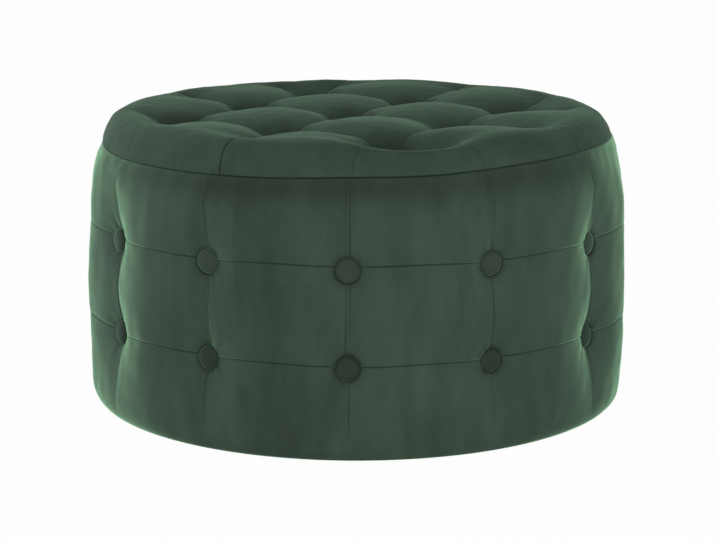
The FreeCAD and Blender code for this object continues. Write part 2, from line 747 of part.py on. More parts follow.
def top_toggles():
    body = new_body("top_toggles")
    place = "Fits.tuft_x", "Fits.tuft_y", "Fits.post_top - Sizes.toggle_thickness"
    thickness = "Sizes.toggle_thickness"
    bar = box(body, "Additive", "top_bar", "Sizes.toggle_length", "Sizes.toggle_width", thickness, *place)
    eye = "2 * (Sizes.twine_radius + Sizes.cloth_gap)"
    hole = box(body, "Subtractive", "top_eye", eye, eye, thickness, *place)
    on_the_tufts(body, "top_toggles_grid", [bar, hole])
    turned(body, size("tuft_turn"))
    return body


# Underside
def dust_cover():
    body = new_body("dust_cover")
    low, thickness = "Sizes.glide_height", "Sizes.dust_thickness"
    disc(body, "dust_cloth", "Fits.dust_outer", thickness, low)
    x, y = "Fits.glide_circle * sin(Fits.glide_turn)", "-Fits.glide_circle * cos(Fits.glide_turn)"
    hole = prism(body, "Subtractive", "dust_hole", "Fits.pilot_radius", thickness, x, y, low)
    round_the_axis(body, "Sizes.post_count", hole)
    round_the_axis(body, "Sizes.dust_staple_count", staple_slot(body, "dust_cloth_slot", *DUST_STAPLE))
    return body


def glide_foot(number):
    """A nylon glide with a dish for its screw's head."""
    label = "glide_foot_%d" % (number + 1)
    body = new_body(label)
    y, height = "-Fits.glide_circle", "Sizes.glide_height"
    prism(body, "Additive", label + "_disc", "Sizes.glide_radius", height, "0", y, "0", sides=ROUND)
    depth = "Sizes.glide_dish_depth + Sizes.screw_head_height"
    prism(body, "Subtractive", label + "_dish", "Sizes.glide_dish_radius", depth, "0", y, "0", sides=ROUND)
    prism(body, "Subtractive", label + "_hole", "Fits.pilot_radius", height, "0", y, "0")
    turned(body, size("glide_turn") + 360 * number / size("post_count"))
    return body


# All the pieces, from the frame outwards
def build():
    pieces = [base_board(), top_board()]
    pieces += [upright(number) for number in range(int(size("post_count")))]
    pieces += [wall_panel("wall_panel_front", 0), wall_panel("wall_panel_back", 180)]
    pieces += [side_foam(), top_foam(), side_cover(), top_cover()]
    for row in ("lower", "upper"):
        pieces.append(side_buttons("side_buttons_" + row, "row_" + row))
        pieces.append(side_twines("side_twines_" + row, "row_" + row))
        pieces.append(side_toggles("side_toggles_" + row, "row_" + row))
    pieces += [top_buttons(), top_twines(), top_toggles(), dust_cover()]
    pieces += [glide_foot(number) for number in range(int(size("post_count")))]
    post = "Fits.post_centre", "Sizes.post_start"
    low_end, high_end = "Fits.post_bottom + Sizes.screw_bite", "Fits.post_top - Sizes.screw_bite"
    pieces.append(screw_ring("base_board_screws", *post, "Fits.under_board", low_end, False))
    pieces.append(screw_ring("top_board_screws", *post, high_end, "Fits.board_top", True))
    end = "Fits.under_board + Sizes.glide_screw_bite"
    pieces.append(screw_ring("glide_screws", "Fits.glide_circle", "Fits.glide_turn", "Sizes.glide_dish_depth", end, False))
    pieces.append(staples("hem_staples", "hem_staple_count", HEM_STAPLE))
    pieces.append(staples("dust_cover_staples", "dust_staple_count", DUST_STAPLE))
    pieces.append(staples("wall_panel_staples", "wall_staple_count", LOW_WALL_STAPLE, HIGH_WALL_STAPLE))
    return pieces


def checked(pieces):
    """Stops with a message unless every object is up to date and every piece is a valid solid."""
    doc.recompute()
    for item in doc.Objects:
        if "Invalid" in item.State or "Error" in item.State:
            raise RuntimeError("%s is %s" % (item.Name, item.State))
    for piece in pieces:
        if piece.Shape.isNull() or not piece.Shape.isValid() or not piece.Shape.Solids:
            raise RuntimeError("%s has no valid solid" % piece.Label)
    return pieces


os.makedirs("parts", exist_ok=True)
for piece in checked(build()):
    piece.Shape.exportStep("parts/%s.step" % piece.Label)
    print("%-22s %2d solids %9.0f mm3" % (piece.Label, len(piece.Shape.Solids), piece.Shape.Volume))
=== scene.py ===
# Round tufted pouf in dark green velvet. Metres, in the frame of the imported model.
import math

import bpy
import numpy as np
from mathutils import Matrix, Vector


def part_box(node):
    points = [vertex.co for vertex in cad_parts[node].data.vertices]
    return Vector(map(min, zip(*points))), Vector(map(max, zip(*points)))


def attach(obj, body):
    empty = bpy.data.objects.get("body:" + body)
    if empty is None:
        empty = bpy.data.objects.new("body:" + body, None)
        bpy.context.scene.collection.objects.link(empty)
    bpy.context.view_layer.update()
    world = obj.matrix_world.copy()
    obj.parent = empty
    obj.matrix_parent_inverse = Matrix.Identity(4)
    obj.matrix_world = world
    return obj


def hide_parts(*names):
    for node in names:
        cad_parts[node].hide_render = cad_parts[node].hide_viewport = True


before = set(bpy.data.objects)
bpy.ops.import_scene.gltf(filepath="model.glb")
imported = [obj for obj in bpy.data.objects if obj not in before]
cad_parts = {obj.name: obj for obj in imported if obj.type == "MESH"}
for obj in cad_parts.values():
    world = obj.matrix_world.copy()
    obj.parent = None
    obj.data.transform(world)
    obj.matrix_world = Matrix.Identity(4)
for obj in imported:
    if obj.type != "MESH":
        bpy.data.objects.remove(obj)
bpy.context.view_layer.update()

# The sizes of the source, in millimetres
POUF_RADIUS = 335.0
POUF_HEIGHT = 358.0
COLUMNS = 12
ROWS = (111.0, 222.0)
SEAM_RADIUS = 310.0
SEAM_HEIGHT = 324.0
SIDE_SEAT = 304.0
TOP_SEAT = 310.0
TUFT_SPACING = 146.0
TUFT_TURN = math.radians(60)
TUFT_SHIFT = -8.0
UNDER_BOARD = 7.7
BOARD_TOP = 270.0
FOAM_INNER = 280.3
FOAM_OUTER = 298.0
FOAM_STEP = 300.0
FOAM_SHOULDER = 312.0
FOAM_TOP = 334.0
FOAM_FLAT = 261.7
TOP_FOAM_OUTER = 302.7
POSTS = 6
GLIDES = 6

# How the cloth lies over them, in millimetres
# how far the side buttons stand out of their seats, on the wadding
SIDE_LIFT = 5.0
# how far the cloth reaches behind a button's back
BACK_ROOM = 1.5
# the crown's outline: flat, a rounded rim, and a short upright part above the seam
CROWN_CURVE = np.array([
    (0, 361), (180, 361), (235, 361), (260, 360.6), (276, 359.2), (289, 355.8), (298.5, 350.2),
    (304, 342.4), (307.8, 334), (309.6, 328), (310, 323.6)], float)
# where the crown lies low: x, y, depth and width
CROWN_DIPS = ((66, -240, 25, 52), (118, -80, 4, 60), (-81, -128, 3, 50), (190, 45, 2, 60))
PLEAT_DEPTH = 12
PLEAT_WIDTH = 36
PLEAT_LAP = 4.2
# a place that the open pleat passes on its way from the second row of tufts to the seam
PLEAT_BEND = (-121, -244)
WELL_DEPTH = 34
WELL_RADIUS = 13
# the side's outline at a pillow's middle, from under the board round to the seam
SIDE_CURVE = np.array([
    (255, 7.6), (254.6, 6.9), (255.6, 6.3), (270, 6.2), (290, 6.2), (308, 6.2), (317, 6.5), (321.6, 8.2),
    (324.8, 12.2), (327.4, 19), (329.4, 29), (331.4, 48), (333.2, 85), (333.8, 120), (333.4, 160),
    (332.4, 200), (330.4, 240), (327.6, 268), (324.2, 287), (319.8, 302), (316.4, 311), (313.4, 317.5),
    (311.4, 321.6), (310, 323.4)], float)
# the wadding's unseen back, from the seam down
SIDE_BACK = ((283, 323.4), (302.6, 312.6), (303, 301), (298.6, 299.6), (298.5, 200), (298.5, 100),
             (298.5, 7.9))
# the radius that the side's tucks reach down to, and their share of that depth by height
TUCK_FLOOR = 317.0
TUCK_SHARE = ((6, 0.2), (22, 0.32), (60, 0.6), (ROWS[0], 1), (sum(ROWS) / 2, 0.86), (ROWS[1], 1),
              (272, 0.86), (300, 0.64), (312, 0.35), (324, 0))
# how far each tuck leans sideways where it meets the seam, from the front round towards +X
LEANS = (2.5, -4.5, -18, -5, 4, -6, 3, 7, -4, 6, 23, 14)
# how far the crossing tucks lie above each row's buttons, and how far they arch between them
ROW_LIFTS = (2.4, 4.2)
ROW_ARCHES = (2.6, 1.7)
DIMPLE_DEPTH = 4.2
# how far the seam strays up or down, by the angle from the front round towards +X
SEAM_DRIFT = ((-180, 0), (-90, -3), (-60, -5), (-38, -4.5), (-17, -3), (0, 0), (17, 0.3), (36, 4.5), (60, 7),
              (90, 5), (135, 1), (180, 0))
# a covered button's outline, as (radius, height), from the middle of its back to the middle of its face
BUTTON_CURVE = ((0.0, -0.6), (5.0, -0.6), (9.5, -0.5), (12.4, 0.1), (13.7, 1.2), (14.2, 2.6), (14.05, 4.2),
                (13.3, 5.9), (12.0, 7.25), (10.0, 8.3), (7.5, 8.95), (5.0, 9.25), (2.5, 9.38), (0.0, 9.4))
BUTTON_SIDES = 48

# The stage, in metres
FLOOR_REACH = 9
# how much of the floor's seen colour is plain white
FLOOR_WHITE = 0.98
ROOM_LIGHT = 0.25


def smooth(value):
    """A soft step from 0 to 1."""
    value = np.clip(value, 0, 1)
    return value * value * (3 - 2 * value)


def bell(distance, width, power=2):
    """1 at no distance, falling off to 0."""
    return np.exp(-((distance / width) ** power))


def beyond(distance, start):
    return np.maximum(distance - start, 0)


def spline(points, at):
    """A smooth curve through (x, y) points, with slopes from the neighbours."""
    xs, ys = np.array(points, float).T
    slopes = np.gradient(ys, xs)
    k = np.clip(np.searchsorted(xs, at) - 1, 0, len(xs) - 2)
    width = xs[k + 1] - xs[k]
    t = np.clip((at - xs[k]) / width, 0, 1)
    a = (1 + 2 * t) * (1 - t) ** 2 * ys[k] + t * (1 - t) ** 2 * width * slopes[k]
    return a + t * t * (3 - 2 * t) * ys[k + 1] + t * t * (t - 1) * width * slopes[k + 1]


def lengths_along(way):
    """The distance from a curve's first point to each of its points."""
    return np.concatenate([[0], np.cumsum(np.hypot(*np.diff(way, axis=0).T))])


def on_curve(way, at):
    """The two coordinates of a smooth curve, at distances along it."""
    lengths = lengths_along(way)
    return [spline(np.column_stack([lengths, way[:, k]]), at) for k in (0, 1)]


def on_corners(way, share):
    """The two coordinates of a curve with corners, at shares of its length."""
    lengths = lengths_along(way)
    return [np.interp(share * lengths[-1], lengths, way[:, k]) for k in (0, 1)]


def growing_steps(length, step_at):
    """Distances from 0 to a length, where step_at gives each step."""
    steps = [0.0]
    while steps[-1] < length:
        steps.append(steps[-1] + step_at(steps[-1]))
    return np.array(steps) * length / steps[-1]


def ripple(places, wavelength, seed, count=7):
    """Smooth irregular waves, about -1 to 1, over points in any number of dimensions."""
    chance = np.random.RandomState(seed)
    total = 0
    for _ in range(count):
        way = chance.normal(size=len(places))
        way *= 2 * math.pi / wavelength * chance.uniform(0.6, 1.5) / np.linalg.norm(way)
        total = total + np.sin(sum(c * p for c, p in zip(way, places)) + chance.uniform(0, 6.28))
    return total / math.sqrt(count)


def seam_drift(turn, height):
    """How much the seam's straying lifts a place of the cloth near it."""
    along = spline(SEAM_DRIFT, np.degrees((turn + math.pi) % (2 * math.pi) - math.pi))
    return along * bell(height - SEAM_HEIGHT, 17)


def puckers(turn, gather, to_seam, reach, seed):
    """Fine waves where the seam gathers the cloth."""
    return gather * bell(to_seam, reach, 1) * ripple((turn * SEAM_RADIUS, 0 * turn), 9, seed)


def piece(name, verts, faces, replaced, layers=None):
    """A smooth-shaded object from points in millimetres, which rides on the root."""
    mesh = bpy.data.meshes.new(name)
    mesh.from_pydata((np.asarray(verts) / 1000).tolist(), [], faces)
    mesh.update()
    mesh.polygons.foreach_set("use_smooth", [True] * len(mesh.polygons))
    for word, values in (layers or {}).items():
        layer = mesh.attributes.new(word, "FLOAT", "POINT")
        layer.data.foreach_set("value", np.asarray(values, np.float32))
    item = bpy.data.objects.new(name, mesh)
    bpy.context.scene.collection.objects.link(item)
    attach(item, "root")
    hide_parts(*replaced)
    return item


def grid_faces(rows, columns, closed_rows, closed_columns):
    """Quads over a grid of points, rows by columns."""
    down = np.arange(rows if closed_rows else rows - 1)
    across = np.arange(columns if closed_columns else columns - 1)
    i, j = np.meshgrid(down, across, indexing="ij")
    ni, nj = (i + 1) % rows, (j + 1) % columns
    quads = np.stack([i * columns + j, ni * columns + j, ni * columns + nj, i * columns + nj], -1)
    return quads.reshape(-1, 4)


def disc_grid(count):
    """A square grid laid over the unit disc: x, y and the fraction of the way out."""
    line = np.linspace(-1, 1, count)
    u, v = np.meshgrid(line, line, indexing="ij")
    x = u * np.sqrt(1 - v * v / 2)
    y = v * np.sqrt(1 - u * u / 2)
    return x, y, np.maximum(abs(u), abs(v))


def closed_pillow(upper, lower, count):
    """Points and faces of a form from two square grids that share their edge, and the points kept."""
    quads = grid_faces(count, count, False, False)
    index = np.arange(count * count).reshape(count, count)
    below = index + count * count
    for edge in ((0, slice(None)), (-1, slice(None)), (slice(None), 0), (slice(None), -1)):
        below[edge] = index[edge]
    under = below.reshape(-1)[quads][:, ::-1]
    verts = np.concatenate([upper.reshape(-1, 3), lower.reshape(-1, 3)])
    faces = np.concatenate([quads, under])
    used, faces = np.unique(faces, return_inverse=True)
    return verts[used], faces.reshape(-1, 4).tolist(), used


def round_points(r, turn, z):
    """Points from radii and heights, with the angle counted from +X."""
    return np.stack([r * np.cos(turn), r * np.sin(turn), z], -1)


def front_points(r, turn, z):
    """Points from radii and heights, with the angle counted from the front round towards +X."""
    return np.stack([r * np.sin(turn), -r * np.cos(turn), z], -1)


def tuft_rows():
    """The top tufts' places, row by row."""
    cos, sin = math.cos(TUFT_TURN), math.sin(TUFT_TURN)
    steps = (-TUFT_SPACING, 0, TUFT_SPACING)
    return [[(a * cos - b * sin + TUFT_SHIFT, a * sin + b * cos) for a in steps] for b in steps]


def tuft_places():
    return [place for row in tuft_rows() for place in row]


def rim_place(columns):
    """Where a pleat, counted in columns from the tufts' own X axis, runs out to a side tuck."""
    radius = SEAM_RADIUS + 6
    lean = LEANS[(columns + 5) % COLUMNS] / SEAM_RADIUS
    turn = TUFT_TURN + columns * 2 * math.pi / COLUMNS + lean
    return radius * math.cos(turn), radius * math.sin(turn)


def pleat_paths():
    """Six lines of three tufts each, that run out to side tucks at both ends."""
    rows = tuft_rows()
    paths = []
    for j, (first, last) in enumerate(((-5, -1), (6, 0), (5, 1))):
        bend = [PLEAT_BEND] if j == 1 else []
        paths.append([rim_place(first)] + bend + rows[j] + [rim_place(last)])
    for i, (first, last) in enumerate(((-4, 4), (-3, 3), (-2, 2))):
        paths.append([rim_place(first)] + [row[i] for row in rows] + [rim_place(last)])
    return paths


def along_path(x, y, path):
    """Signed distance from a path, how far along it the nearest point lies, and the path's normal there."""
    best = np.full(x.shape, 1e9)
    signed, part = np.zeros(x.shape), np.zeros(x.shape)
    nx, ny = np.zeros(x.shape), np.zeros(x.shape)
    for k, ((x0, y0), (x1, y1)) in enumerate(zip(path, path[1:])):
        length = math.hypot(x1 - x0, y1 - y0)
        ux, uy = (x1 - x0) / length, (y1 - y0) / length
        t = np.clip(((x - x0) * ux + (y - y0) * uy) / length, 0, 1)
        dx, dy = x - x0 - t * length * ux, y - y0 - t * length * uy
        gap = np.hypot(dx, dy)
        nearer = gap < best
        best = np.where(nearer, gap, best)
        side = np.where(dx * uy - dy * ux > 0, 1.0, -1.0)
        signed = np.where(nearer, gap * side, signed)
        part = np.where(nearer, k + t, part)
        nx, ny = np.where(nearer, uy, nx), np.where(nearer, -ux, ny)
    return signed, part, nx, ny


def crown_pleats(x, y, r, reach):
    """The pleats' depth, the painted shade along their crease lines, and how far they lap sideways."""
    depth, crease_shade = np.zeros(x.shape), np.zeros(x.shape)
    shift_x, shift_y = np.zeros(x.shape), np.zeros(x.shape)
    # 0 on the crown and 1 on its rim, where the pleats die out
    rim = smooth((r - 235) / 60)
    along = smooth(1 - rim)
    for number, path in enumerate(pleat_paths()):
        d, part, nx, ny = along_path(x, y, path)
        # each pleat wanders a little between its tufts
        d = d + 2.0 * np.sin(part * 2.1 + number) * smooth(1 - abs(part - 2.0) / 2)
        # one pleat stays open down to the seam, in front on the left
        open_end = smooth(2.0 - part) if number == 1 else 0.0
        clear = 0.3 + 0.9 * open_end
        depth += (PLEAT_DEPTH * along + 1.2 * rim) * bell(abs(d), PLEAT_WIDTH, 1.15)
        depth += (0.5 * along + 0.8 * clear * rim) * bell(d, 1.1)
        # painted shade along each pleat's crease, darker towards the rim and where the pleat stays open
        crease_shade = np.maximum(crease_shade, (0.1 + 0.6 * clear * rim) * bell(d, 1.4))
        # the pillow on one side folds over the other
        side = -1 if number < 3 else 1
        lap = PLEAT_LAP * side * np.maximum(along, 0.6 * open_end) * bell(d + 5.5 * side, 7) * reach
        shift_x += nx * lap
        shift_y += ny * lap
    return depth, crease_shade, shift_x, shift_y


def top_surface(x, y, out):
    """Points of the top cover's upper face, from plan places on the unit disc, and the painted shade of its
    creases.
    """
    turn = np.arctan2(y, x)
    length = lengths_along(CROWN_CURVE)[-1]
    s = out * length
    to_seam = length - s
    r, z = on_curve(CROWN_CURVE, s)
    (r0, z0), (r1, z1) = on_curve(CROWN_CURVE, s - 0.5), on_curve(CROWN_CURVE, s + 0.5)
    slope = np.hypot(r1 - r0, z1 - z0) + 1e-9
    normal_r, normal_z = (z0 - z1) / slope, (r1 - r0) / slope
    flat_x, flat_y = r * np.cos(turn), r * np.sin(turn)
    # 0 at the seam and 1 on the crown
    reach = smooth(to_seam / 26)
    depth, crease_shade, shift_x, shift_y = crown_pleats(flat_x, flat_y, r, reach)
    # the pillows are full all over the crown
    depth -= 2.4 * smooth((300 - r) / 80)
    for dip_x, dip_y, dip_depth, dip_width in CROWN_DIPS:
        dip = bell(np.hypot(flat_x - dip_x, flat_y - dip_y), dip_width, 3.0)
        depth += dip_depth * dip * smooth((309 - r) / 36)
    for tuft_x, tuft_y in tuft_places():
        dx, dy = flat_x - tuft_x, flat_y - tuft_y
        gap = np.hypot(dx, dy)
        angle = np.arctan2(dy, dx)
        folds = np.sin(9 * angle + tuft_x) + 0.6 * np.sin(14 * angle + tuft_y)
        depth += WELL_DEPTH * bell(beyond(gap, WELL_RADIUS), 9, 1.15) + 0.3 * folds * bell(gap - 24, 14)
        # painted shade in a ring round each tuft's button, down in its well
        crease_shade = np.maximum(crease_shade, 0.8 * bell(beyond(gap, 15), 4, 1))
        # nothing laps over the button
        still = smooth((gap - 12) / 22)
        shift_x *= still
        shift_y *= still
    depth = np.minimum(depth, POUF_HEIGHT - TOP_SEAT + BACK_ROOM)
    depth = depth * (0.28 + 0.72 * reach)
    # the cloth's own unevenness
    depth += 0.6 * ripple((flat_x, flat_y), 95, 3) + 0.12 * ripple((flat_x, flat_y), 30, 4)
    gather = np.clip(0.35 + 0.65 * ripple((flat_x, flat_y), 160, 8), 0.1, 1)
    depth += puckers(turn, 0.4 * gather, to_seam, 8, 5)
    depth *= smooth(to_seam / 4)
    # painted shade along the seam
    crease_shade = np.maximum(crease_shade, bell(to_seam, 0.8))
    r = r - normal_r * depth
    z = z - normal_z * depth
    z += seam_drift(turn + math.pi / 2, z)
    points = round_points(r, turn, z)
    points[..., 0] += shift_x
    points[..., 1] += shift_y
    return points, crease_shade


def top_cover():
    count = 421
    x, y, out = disc_grid(count)
    upper, crease_shade = top_surface(x, y, out)
    # the wadding's back lies on the foam, and on the seam outside it
    back_radius = 307.5
    r = out * back_radius
    low = np.interp(r, [0, FOAM_FLAT, 281, 282, back_radius], [334.6, 334.6, 324.2, 323.9, 323.8])
    low = np.minimum(low, upper[..., 2] - 3.5)
    lower = round_points(r, np.arctan2(y, x), low)
    edge = out >= 1 - 1e-9
    lower[edge] = upper[edge]
    verts, faces, used = closed_pillow(upper, lower, count)
    # painted shade in the creases; the top has no painted band under the seam
    layers = {"crease_shade": np.tile(crease_shade.reshape(-1), 2)[used], "seam_shade": np.zeros(len(used))}
    item = piece("velvet_top_cover", verts, faces, ["top_cover"], layers)
    return item


def side_grid():
    """Distances from the nearest tuck, all round, and distances along the side's curve."""
    finest, coarsest = ((0.42, 2.6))
    half = math.pi * POUF_RADIUS / COLUMNS
    lengths = lengths_along(SIDE_CURVE)

    def across(at):
        return min(finest + 0.085 * max(at - 4, 0), coarsest)

    def upwards(at):
        height = np.interp(at, lengths, SIDE_CURVE[:, 1])
        near = min(abs(height - row - 3) for row in ROWS) - 4 if 29 < height < 300 else 30
        near = min(near, lengths[-1] - at)
        return min(finest + 0.09 * max(near - 3, 0), coarsest)

    steps = growing_steps(half, across)[1:]
    column = np.concatenate([-steps[::-1][1:], [0], steps])
    return half, column, growing_steps(lengths[-1], upwards)


def side_tucks(d, z, r, half, number):
    """The upright tucks' depth and the painted shade along their crease lines, at distances d from them."""
    # each tuck wanders a little
    d = d + 0.9 * np.sin(z / 47 + number * 2.3) * smooth(1 - abs(d) / 60)
    depth = beyond(r, TUCK_FLOOR) * np.clip(1 - abs(d) / half, 0, 1) ** 1.45
    # two fine lines along the tuck, stronger and weaker by turns: shallow grooves, with painted shade along
    # them
    lengthwise = smooth((z - 20) / 40) * smooth((SEAM_HEIGHT + 4 - z) / 26)
    fold = 0.55 + 0.45 * np.sin(z / 31 + number * 1.9)
    first, second = bell(d - 2.2, 0.6), bell(d + 2.2, 0.6)
    depth += (0.9 * first * fold + 0.9 * second * (1.1 - fold)) * lengthwise
    depth *= np.interp(z, *np.array(TUCK_SHARE).T)
    crease_shade = np.maximum(first * (0.25 + 0.5 * fold), second * (0.65 - 0.5 * fold)) * lengthwise
    return depth, crease_shade


def side_rows(turn, z, depth, crease_shade):
    """Adds the crossing tucks, and the dimples that the buttons pull in, to the depth and to the painted
    shade of the creases.
    """
    for row, lift, arch in zip(ROWS, ROW_LIFTS, ROW_ARCHES):
        sway = lift + arch * (1 - np.cos(COLUMNS * turn)) + 0.7 * np.sin(turn * 5 + row)
        dz = z - row - sway
        depth += 1.3 * bell(abs(dz), 20, 1.2) + 1.3 * bell(dz, 0.8)
        # painted shade along each crossing tuck
        crease_shade = np.maximum(crease_shade, 0.8 * bell(dz, 0.7))
        for k in range(COLUMNS):
            across = ((turn - 2 * math.pi * k / COLUMNS + math.pi) % (2 * math.pi) - math.pi) * POUF_RADIUS
            gap = np.hypot(across, z - row)
            angle = np.arctan2(z - row, across)
            dimple = DIMPLE_DEPTH * bell(beyond(gap, 13.5), 20, 1.3) + 3.6 * bell(gap, 13, 6)
            folds = np.sin(7 * angle + k * 1.7 + row) + 0.7 * np.sin(11 * angle + k * 2.9)
            dimple += 0.3 * folds * bell(gap - 22, 11)
            depth += np.where(gap < 130, dimple, 0)
            # painted shade in a ring round each button
            crease_shade = np.maximum(crease_shade, np.where(gap < 60, bell(beyond(gap, 14.2), 2.6, 1), 0))
    return depth, crease_shade


def side_cover():
    half, column, rise = side_grid()
    middles = 2 * math.pi * np.arange(COLUMNS)[:, None] / COLUMNS
    turns = (column[None, :] / half * math.pi / COLUMNS + middles).reshape(-1)
    tuck_gap = np.tile(column, COLUMNS)
    number = np.repeat(np.arange(COLUMNS), len(column))
    r, z = on_curve(SIDE_CURVE, rise)
    slope = np.gradient(np.column_stack([r, z]), rise, axis=0)
    length = np.hypot(slope[:, 0], slope[:, 1])
    normal_r, normal_z = slope[:, 1:] / length[:, None], -slope[:, :1] / length[:, None]
    r, to_seam = r[:, None], rise[-1] - rise[:, None]
    z = z[:, None] + 0 * turns
    lean = np.array(LEANS)[number] * (1 - abs(tuck_gap) / half) / SEAM_RADIUS
    turn = turns + lean * smooth((z - 288) / (SEAM_HEIGHT - 288))
    depth, crease_shade = side_tucks(tuck_gap + 0 * z, z, r, half, number)
    depth, crease_shade = side_rows(turn, z, depth, crease_shade)
    # the cloth's own unevenness, and the fall of its length
    places = (POUF_RADIUS * np.cos(turn), POUF_RADIUS * np.sin(turn), z)
    up = smooth((z - 9) / 22)
    depth += (0.8 * ripple(places, 120, 11) + 0.25 * ripple(places, 42, 12)) * up
    drape = ripple((turn * POUF_RADIUS, z * 0.12), 26, 13)
    depth += 0.1 * drape * up
    gather = np.clip(0.3 + 0.7 * ripple((np.cos(turn) * 300, np.sin(turn) * 300), 190, 15), 0.08, 1)
    depth += puckers(turn, 0.25 * gather, SEAM_HEIGHT - z, 10, 14)
    depth *= smooth(to_seam / 5) * smooth((z - 6.25) / 5)
    depth = np.minimum(depth, r - SIDE_SEAT - SIDE_LIFT + BACK_ROOM)
    # painted shade along the seam
    crease_shade = np.maximum(crease_shade, bell(to_seam, 0.9))
    # the whole side leans a little towards +X
    depth -= (1.7 * np.sin(turn) - 0.6) * smooth((z - 20) / 60) * smooth((SEAM_HEIGHT - z) / 60)
    height = np.where(z > 9, z - normal_z * depth, z)
    height += seam_drift(turn, height)
    outer = front_points(r - normal_r * depth, turn, height)
    # painted shade: a darker band under the seam, most of all in front
    in_front = 0.25 + 0.75 * smooth(0.5 + 0.6 * np.cos(turn - 0.3))
    seam_shade = bell(SEAM_HEIGHT - z - 10, 20) * in_front
    inner = [front_points(back_r, turns, back_z + 0 * turns) for back_r, back_z in SIDE_BACK]
    verts = np.concatenate([outer, np.array(inner)])
    rows, columns = verts.shape[:2]
    faces = grid_faces(rows, columns, True, True)[:, ::-1]
    unseen = np.zeros((len(inner), columns))
    # painted shade in the creases and in the band under the seam, none on the unseen back
    layers = {"crease_shade": np.concatenate([crease_shade, unseen]).reshape(-1),
              "seam_shade": np.concatenate([seam_shade, unseen]).reshape(-1)}
    item = piece("velvet_side_cover", verts.reshape(-1, 3), faces.tolist(), ["side_cover"], layers)
    return item


def button_form(seed):
    """A covered button at the origin, its +Z outwards, with its back near the plane z = 0."""
    turns = np.linspace(0, 2 * math.pi, BUTTON_SIDES, endpoint=False)
    tilt = np.random.RandomState(seed).uniform(0, 6.28)
    verts = []
    for radius, height in BUTTON_CURVE[1:-1]:
        pleat = 0.16 * np.sin(16 * turns + seed) * math.exp(-((height - 1.5) / 2.6) ** 2) * (radius > 9)
        lift = 0.18 * radius / 14 * np.cos(turns - tilt) * (height > 1)
        verts.append(round_points(radius + pleat, turns, height + lift))
    verts = np.concatenate(verts)
    faces = grid_faces(len(BUTTON_CURVE) - 2, BUTTON_SIDES, False, True)[:, ::-1].tolist()
    ends = len(verts)
    last = ends - BUTTON_SIDES
    verts = np.concatenate([verts, [[0, 0, BUTTON_CURVE[0][1]], [0, 0, BUTTON_CURVE[-1][1]]]])
    for k in range(BUTTON_SIDES):
        following = (k + 1) % BUTTON_SIDES
        faces.append([ends, following, k])
        faces.append([ends + 1, last + k, last + following])
    return verts, faces


def button_group(name, places, replaced):
    """Buttons at (middle, outward direction, first direction) places, as one piece."""
    verts, faces = [], []
    for number, (middle, outward, across) in enumerate(places):
        form, quads = button_form(number + len(name))
        start = sum(len(part) for part in verts)
        up = np.cross(outward, across)
        verts.append(middle + form[:, :1] * across + form[:, 1:2] * up + form[:, 2:] * outward)
        faces += [[start + k for k in face] for face in quads]
    return piece(name, np.concatenate(verts), faces, [replaced])


def side_buttons(name, row, replaced):
    places = []
    for k in range(COLUMNS):
        turn = 2 * math.pi * k / COLUMNS
        outward = np.array([math.sin(turn), -math.cos(turn), 0])
        across = np.array([math.cos(turn), math.sin(turn), 0])
        places.append((outward * (SIDE_SEAT + SIDE_LIFT) + np.array([0, 0, row]), outward, across))
    return button_group(name, places, replaced)


def top_buttons():
    up, across = np.array([0, 0, 1.0]), np.array([1.0, 0, 0])
    places = [(np.array([x, y, TOP_SEAT]), up, across) for x, y in tuft_places()]
    return button_group("velvet_top_buttons", places, "top_buttons")


def side_foam():
    """A ring cut from foam board, with its corners rounded a little."""
    inner, upper = FOAM_INNER + 0.2, FOAM_STEP - 0.4
    corners = np.array([(inner, UNDER_BOARD), (FOAM_OUTER, UNDER_BOARD), (FOAM_OUTER, upper), (inner, upper)])
    points = []
    for k, corner in enumerate(corners):
        before, after = corners[k - 1], corners[(k + 1) % len(corners)]
        for other, share in ((before, 0.5), (before, 0.03), (after, 0.03)):
            points.append(corner + (other - corner) * share)
    turns = np.linspace(0, 2 * math.pi, 192, endpoint=False)
    r, z = np.array(points).T
    verts = front_points(r[:, None], turns, z[:, None] + 0 * turns)
    faces = grid_faces(len(points), len(turns), True, True)
    item = piece("cut_side_foam", verts.reshape(-1, 3), faces.tolist(), ["side_foam"])
    return item


def top_foam():
    """The crown's foam block, pressed low round each tuft and under the cloth."""
    count = 161
    x, y, out = disc_grid(count)
    turn = np.arctan2(y, x)
    above = np.array([(0, FOAM_TOP), (FOAM_FLAT - 4, FOAM_TOP), (FOAM_FLAT + 6, FOAM_TOP - 3),
                      (TOP_FOAM_OUTER - 5, FOAM_SHOULDER + 2.5), (TOP_FOAM_OUTER, FOAM_SHOULDER - 2),
                      (TOP_FOAM_OUTER, FOAM_STEP + 0.4)], float)
    r, z = on_corners(above, out)
    for tuft_x, tuft_y in tuft_places():
        gap = np.hypot(r * np.cos(turn) - tuft_x, r * np.sin(turn) - tuft_y)
        z = np.where(gap < 60, np.minimum(z, 304 + 31 * smooth((gap - 18) / 34)), z)
    cloth, _ = top_surface(x, y, out)
    upper = round_points(r, turn, np.minimum(z, cloth[..., 2] - 5))
    below = np.array([(0, BOARD_TOP + 0.2), (279.5, BOARD_TOP + 0.2), (279.9, FOAM_STEP + 0.4),
                      (TOP_FOAM_OUTER, FOAM_STEP + 0.4)], float)
    r, z = on_corners(below, out)
    verts, faces, _ = closed_pillow(upper, round_points(r, turn, z), count)
    item = piece("cored_top_foam", verts, faces, ["top_foam"])
    return item


